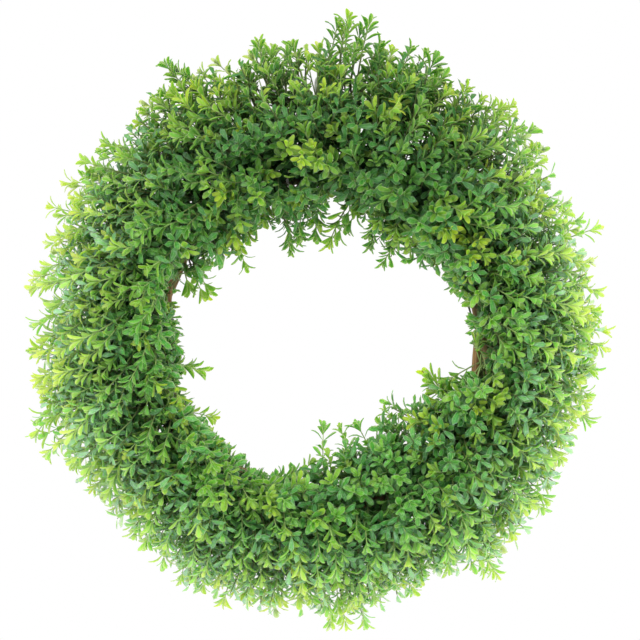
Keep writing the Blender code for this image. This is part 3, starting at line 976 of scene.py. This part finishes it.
# 1 where foliage at that lean faces the front, 0 at the rim and in the hole
def facing(lean):
    return held(math.sin(math.radians(lean)))


# How deep the foliage is sunk at a place between bunches, as a share of its reach
def pocket(spot):
    between = noise.noise(spot * foliage["bunchScale"]) * foliage["bunchSlope"] - foliage["bunchStart"]
    hollow = max(deep * nearness(spot, x, z, foliage["hollowWidth"]) for x, z, deep in foliage["hollows"])
    return max(foliage["bunchDepth"] * held(between), hollow)


# Turn, lean and distance from the bundle of each sprig's tip, with the root's turn for lone twigs
def tipsOf(row, turn, draw):
    low, high = foliage["leans"][row]
    tips = []
    for longTurn, longLean, away, *rootTurn in foliage["longTwigs"][row]:
        if -halfSector < (longTurn - turn + 180.0) % 360.0 - 180.0 <= halfSector:
            tips.append((longTurn, longLean, away, *rootTurn))
    lean = low
    shift = draw.random()
    while lean < high:
        away = reach(turn, lean)
        wide = (ring["radius"] + away * math.cos(math.radians(lean))) * math.radians(2 * halfSector)
        count = max(1, round(wide / foliage["spacing"]))
        shift += 0.5
        for i in range(count):
            stray = giveOrTake(draw, foliage["placeStray"])
            across = ((i + shift % 1.0 + stray) / count * 2.0) % 2.0 - 1.0
            stray = giveOrTake(draw, foliage["placeStray"])
            leaned = lean + math.degrees(stray * foliage["spacing"] / away)
            placed = turn + across * halfSector
            side = "rim" if abs(leaned) < foliage["rimLean"] else "front"
            share = draw.uniform(*foliage[side + "Draw"])
            if draw.random() < foliage[side + "Recessed"]:
                share = draw.uniform(*foliage["recessedDraw"])
            spot = ringPoint(placed, leaned, reach(placed, leaned))
            clumped = noise.noise(spot * foliage["clumpScale"]) * 2.0 - foliage["clumpBias"]
            share = min(1.0, share * (1.0 + foliage["clump"] * clumped))
            share *= 1.0 - pocket(spot) * facing(leaned)
            tips.append((placed, leaned, reach(placed, leaned) * share))
        lean += math.degrees(foliage["spacing"] / away)
    return tips


# Stands a model on its root, with its tip in place and nodding towards a side
def placeAt(tip, root, toward, size):
    along = (tip - root).normalized()
    nod = (toward - along * toward.dot(along)).normalized()
    turned = Matrix((nod.cross(along), nod, along)).transposed().to_4x4()
    return Matrix.Translation(tip) @ turned @ Matrix.Scale(size, 4)


def inWindow(point):
    for x, z, wide, high in foliage["windows"]:
        if abs(point.x - x) < wide and abs(point.z - z) < high:
            return True
    return False


# Takes out whole leaves that reach into a window
def clearWindows(spray):
    if not any(inWindow(v.co) for v in spray.data.vertices):
        return
    makeActive(spray)
    editMode()
    bpy.ops.mesh.select_mode(type="VERT")
    pick(spray, inWindow)
    bpy.ops.mesh.select_linked()
    shape = bmesh.from_edit_mesh(spray.data)
    for face in shape.faces:
        if spray.data.materials[face.material_index].name == "boxwood_twig":
            for point in face.verts:
                point.select = False
    shape.select_flush(False)
    bmesh.update_edit_mesh(spray.data)
    bpy.ops.mesh.delete(type="VERT")
    objectMode()


# Painted light and shade: a pale glow from rimStart outwards, and painted shade deep in the foliage (dark)
# and everywhere but the rim (even), both more at the top
shade = {
    "rimStart": 0.190,  # from the wreath's centre
    "rimWidth": 0.078,
    "rimCurve": 1.2,
    "topStart": 0.60,
    "topSlope": 1.8,
    "darkStart": 0.80,  # share of the reach
    "darkWidth": 0.42,
    "dark": 0.72,
    "darkTop": 0.26,  # more at the top
    "even": 0.05,
    "evenTop": 0.41,
    "rimLight": 0.85,
}


# Values that follow a point's place, how far out it is on the wreath and how deep in the foliage, for
# painted light and shade: a pale painted glow towards the rim, and painted shade deep in the foliage and
# towards the top
def shadePlaces(mesh, points):
    aside = points[:, 0] - centre.x
    up = points[:, 2] - centre.z
    forward = centre.y - points[:, 1]
    around = np.hypot(aside, up)
    turn = np.degrees(np.arctan2(up, aside))
    away = np.hypot(around - ring["radius"], forward)
    lean = np.degrees(np.arctan2(forward, around - ring["radius"]))
    share = away / reach(turn, np.clip(lean, -20.0, 180.0))
    rimShare = np.clip((around - shade["rimStart"]) / shade["rimWidth"], 0.0, 1.0)
    topShare = np.clip(up / around * shade["topSlope"] - shade["topStart"], 0.0, 1.0)
    # Painted light: a pale glow towards the rim, none at the top
    floats(mesh, "paintedRimGlow", rimShare ** shade["rimCurve"] * (1.0 - topShare))
    # Painted shade: darker deep in the foliage, a little everywhere, more towards the top and less at the
    # rim
    inside = np.clip((shade["darkStart"] - share) / shade["darkWidth"], 0.0, 1.0)
    inside = inside * (shade["dark"] + shade["darkTop"] * topShare)
    middle = (shade["even"] + shade["evenTop"] * topShare) * (1.0 - rimShare * (1.0 - topShare))
    inner = np.maximum(inside * (1.0 - shade["rimLight"] * rimShare * (1.0 - topShare)), middle)
    floats(mesh, "paintedShade", inner)


# Where a sprig's twig leaves the bundle
def rootOf(row, turn, placed, lean, away, ownTurn, draw):
    hang = foliage["hang"] * (math.cos(math.radians(placed)) + foliage["hangBias"])
    follow = (placed - turn) * foliage["rootFollow"]
    rootTurn = turn + follow + hang + giveOrTake(draw, foliage["rootTurnStray"])
    if ownTurn:
        rootTurn = ownTurn[0]
    elif away < foliage["alongReach"]:
        rootTurn = placed + draw.choice((-1.0, 1.0)) * draw.uniform(*foliage["alongTurns"])
    rootLean = lean + foliage["rootLean"][row] + giveOrTake(draw, foliage["rootLeanStray"])
    return ringPoint(rootTurn, rootLean, min(foliage["rootAway"], away * foliage["rootShare"]))


# Which way a sprig nods: away from the bundle, down, and together with its neighbours
def nodOf(placed, lean, tip, draw):
    side = 1.0 if lean < draw.uniform(*foliage["nodLeans"]) else -1.0
    strayed = Vector([giveOrTake(draw, 1.0) for _ in range(3)]) * foliage["stray"]
    flow = outward(placed + 90.0) * (foliage["flow"] * noise.noise(tip * foliage["flowScale"]))
    return outward(placed) * side + Vector((0.0, 0.0, -foliage["droop"])) + flow + strayed


# How yellow a sprig's tip is
def freshnessOf(placed, lean, tip, draw):
    clumped = foliage["freshClump"] * noise.noise(tip * foliage["freshScale"])
    fresh = draw.random() ** foliage["freshCurve"] + clumped
    anyway = draw.random() < foliage["freshAnyway"]
    fresh *= 1.0 if anyway else foliage["freshRim"] - foliage["freshFront"] * facing(lean)
    spots = foliage["freshSpots"]
    fresh += foliage["freshRise"] * max(nearness(tip, x, z, foliage["freshWidth"]) for x, z in spots)
    if lean < foliage["freshTopLean"]:
        fresh += foliage["freshTop"] * math.sin(math.radians(placed)) * draw.random()
    return held(fresh)


def growSprigs(row, turn, sprigs, draw):
    archedLow, archedHigh = foliage["archedLeans"]
    grown = []
    for placed, lean, away, *ownTurn in tipsOf(row, turn, draw):
        tip = ringPoint(placed, lean, away)
        root = rootOf(row, turn, placed, lean, away, ownTurn, draw)
        toward = nodOf(placed, lean, tip, draw)
        length = "long" if away > foliage["longReach"] else "short"
        bending = "arched" if archedLow < lean < archedHigh else "mild"
        size = draw.uniform(*foliage["sizes"]) * (foliage["loneSize"] if ownTurn else 1.0)
        place = placeAt(tip, root, toward, size)
        sprig = copyMesh(draw.choice(sprigs[length, bending]), place)
        floats(sprig.data, "sprigFresh", freshnessOf(placed, lean, tip, draw))
        grown.append(sprig)
    return grown


def growTufts(row, turn, tufts, draw):
    low, high = foliage["leans"][row]
    margin = foliage["tuftMargin"]
    grown = []
    for _ in range(foliage["tufts"][row]):
        across = draw.random() ** foliage["tuftCurve"][row]
        lean = low + margin + (high - low - 2 * margin) * across
        placed = turn + giveOrTake(draw, halfSector)
        tip = ringPoint(placed, lean, reach(placed, lean) * draw.uniform(*foliage["tuftShares"]))
        rootTurn = placed + giveOrTake(draw, foliage["tuftTurnStray"])
        rootLean = lean + giveOrTake(draw, foliage["tuftLeanStray"])
        root = ringPoint(rootTurn, rootLean, foliage["tuftRoot"])
        toward = outward(placed) + front * giveOrTake(draw, 1.0)
        model = draw.choice(tufts)
        tuft = copyMesh(model, placeAt(tip, root, toward, draw.uniform(*foliage["tuftSizes"])))
        floats(tuft.data, "sprigFresh", 0.0)
        grown.append(tuft)
    return grown


# Presses the foliage's back towards the wall
def pressBack(points):
    past = points[:, 1] > foliage["backLine"]
    points[past, 1] = foliage["backLine"] + (points[past, 1] - foliage["backLine"]) * foliage["backPress"]


def growSpray(row, sector, sprigs, tufts):
    turn = ring["firstTurn"] - (sector - foliage["shift"][row]) * 360.0 / ring["sectors"]
    turn %= 360.0
    name = f"{row}_{sector + 1:02d}"
    draw = random.Random("leaves of " + name)
    parts = growSprigs(row, turn, sprigs, draw) + growTufts(row, turn, tufts, draw)
    spray = joinPieces("leafy_" + name, parts)
    clearWindows(spray)
    points = np.empty(len(spray.data.vertices) * 3, np.float32)
    spray.data.vertices.foreach_get("co", points)
    points = points.reshape(-1, 3)
    shadePlaces(spray.data, points)
    pressBack(points)
    spray.data.vertices.foreach_set("co", points.ravel())
    spray.data.update()
    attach(spray, "root")
    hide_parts(name)
    return sum(len(face.vertices) - 2 for face in spray.data.polygons)


def growFoliage():
    materials = {"leaf": paintLeaves(), "twig": paintTwigs()}
    draw = random.Random("sprigs")
    leaves = [makeLeaf(name, **kind) for name, kind in leafShape["kinds"].items()]
    innerLeaf = makeLeaf("leaf_inner", rows=leafShape["plainRows"])
    for leaf in leaves + [innerLeaf]:
        leaf.data.materials.append(materials["leaf"])
    sprigs = {}
    for size in sprigShape["twigLength"]:
        for bending in sprigShape["bends"]:
            kinds = range(sprigShape["kinds"])
            named = [f"{size}_{bending}_{k}" for k in kinds]
            sprigs[size, bending] = [
                makeSprig(name, size, bending, leaves, innerLeaf, materials, draw) for name in named
            ]
    tufts = [makeTuft(f"tuft_{k}", innerLeaf, materials, draw) for k in range(tuftShape["kinds"])]
    models = [sprig for group in sprigs.values() for sprig in group] + tufts
    print("models made:", len(models))
    total = 0
    for row in foliage["leans"]:
        for sector in range(ring["sectors"]):
            total += growSpray(row, sector, sprigs, tufts)
    for model in models + leaves + [innerLeaf]:
        bpy.data.objects.remove(model)
    print("foliage grown:", total, "triangles")


studio = {
    "floorDrop": 0.75,
    "floorRadius": 1.1,
    "floorThickness": 0.01,
    "floorSides": 96,
    "floorColour": (0.86, 0.86, 0.86),
    "white": 1.0,  # strength of the white surroundings
    # place, side and power in watts
    "lamps": {
        "key": ((-0.9, -1.7, 1.0), 0.9, 28.0),
        "fill": ((1.3, -1.6, -0.1), 1.1, 12.0),
        "low": ((0.1, -1.1, -0.70), 0.7, 4.0),
        "side": ((1.15, 0.25, -0.35), 0.9, 2.0),
    },
    "sensor": 36.0,
    "cameraAway": 2.2,
    "photoSide": 640,
    "photoCentre": (321.5, 335.0),  # the wreath's centre in the photograph, in pixels
    "pixel": 0.001,  # size of a pixel at the wreath's rim
}


def setStudio():
    deselectAll()
    bpy.ops.mesh.primitive_cylinder_add(
        vertices=studio["floorSides"],
        radius=studio["floorRadius"],
        depth=studio["floorThickness"],
        location=(0.0, 0.0, -studio["floorDrop"]),
    )
    floor = bpy.context.object
    floor.name = "floor"
    applyPlace()
    paint = Paint("floor_white", 0.6, 0.2)
    paint.shader.inputs["Base Color"].default_value = (*studio["floorColour"], 1.0)
    floor.data.materials.append(paint.material)

    world = bpy.data.worlds.new("studio")
    bpy.context.scene.world = world
    world.use_nodes = True
    world.node_tree.nodes["Background"].inputs["Color"].default_value = (1.0, 1.0, 1.0, 1.0)
    world.node_tree.nodes["Background"].inputs["Strength"].default_value = studio["white"]

    for name, (place, size, power) in studio["lamps"].items():
        lamp = bpy.data.lights.new(name, "AREA")
        lamp.energy = power
        lamp.size = size
        light = bpy.data.objects.new(name, lamp)
        light.location = place
        light.rotation_mode = "QUATERNION"
        light.rotation_quaternion = (centre - Vector(place)).to_track_quat("-Z", "Y")
        bpy.context.scene.collection.objects.link(light)

    lens = bpy.data.cameras.new("camera")
    camera = bpy.data.objects.new("camera", lens)
    bpy.context.scene.collection.objects.link(camera)
    bpy.context.scene.camera = camera
    side = studio["photoSide"]
    aside = (side / 2 - studio["photoCentre"][0]) * studio["pixel"]
    up = (studio["photoCentre"][1] - side / 2) * studio["pixel"]
    camera.location = (aside, -studio["cameraAway"], up - ring["hangRise"])
    camera.rotation_euler = (math.radians(90.0), 0.0, 0.0)
    rimAway = studio["cameraAway"] - ring["forward"]
    lens.sensor_width = studio["sensor"]
    lens.lens = studio["sensor"] * rimAway / (side * studio["pixel"])
    bpy.context.scene.view_settings.view_transform = "Standard"
    print("studio set")


setStudio()
dressVines()
dressTies()
dressHanger()
print("ring, ties and hanging wire dressed")
growFoliage()

bpy.context.view_layer.update()
